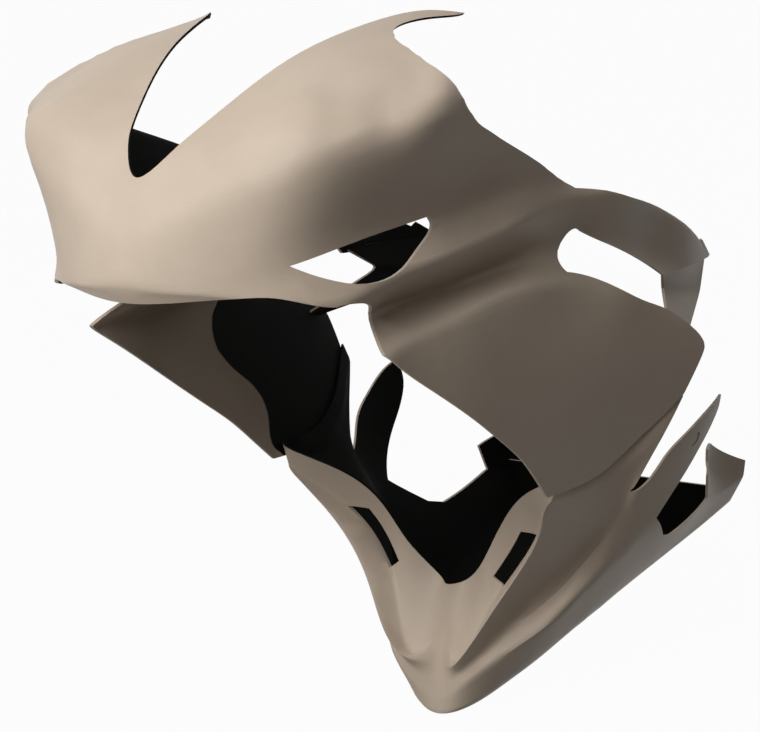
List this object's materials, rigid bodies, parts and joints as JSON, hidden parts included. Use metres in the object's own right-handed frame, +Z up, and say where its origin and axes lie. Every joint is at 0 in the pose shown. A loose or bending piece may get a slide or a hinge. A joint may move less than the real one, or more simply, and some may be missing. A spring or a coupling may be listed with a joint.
{
  "type": "motorcycle fairing",
  "caption": "Full sport-motorcycle fairing: an upper shell with nose cowl, air intakes, vents and side panels, and a chinned belly pan tucked behind it.",
  "frame": {"origin": "centre of the bounding box's bottom face, under the middle of the motorcycle", "axes": "+X to the rider's left, +Y to the rear, +Z up"},
  "size_m": [0.5498, 0.8696, 0.8328],
  "materials": {
    "upper_fairing": "satin grey-beige primer, black inside",
    "belly_pan": "satin grey-beige primer, black inside"
  },
  "bodies": {
    "root": {"upper_fairing": "upper_fairing", "belly_pan": "belly_pan"}
  },
  "joints": []
}
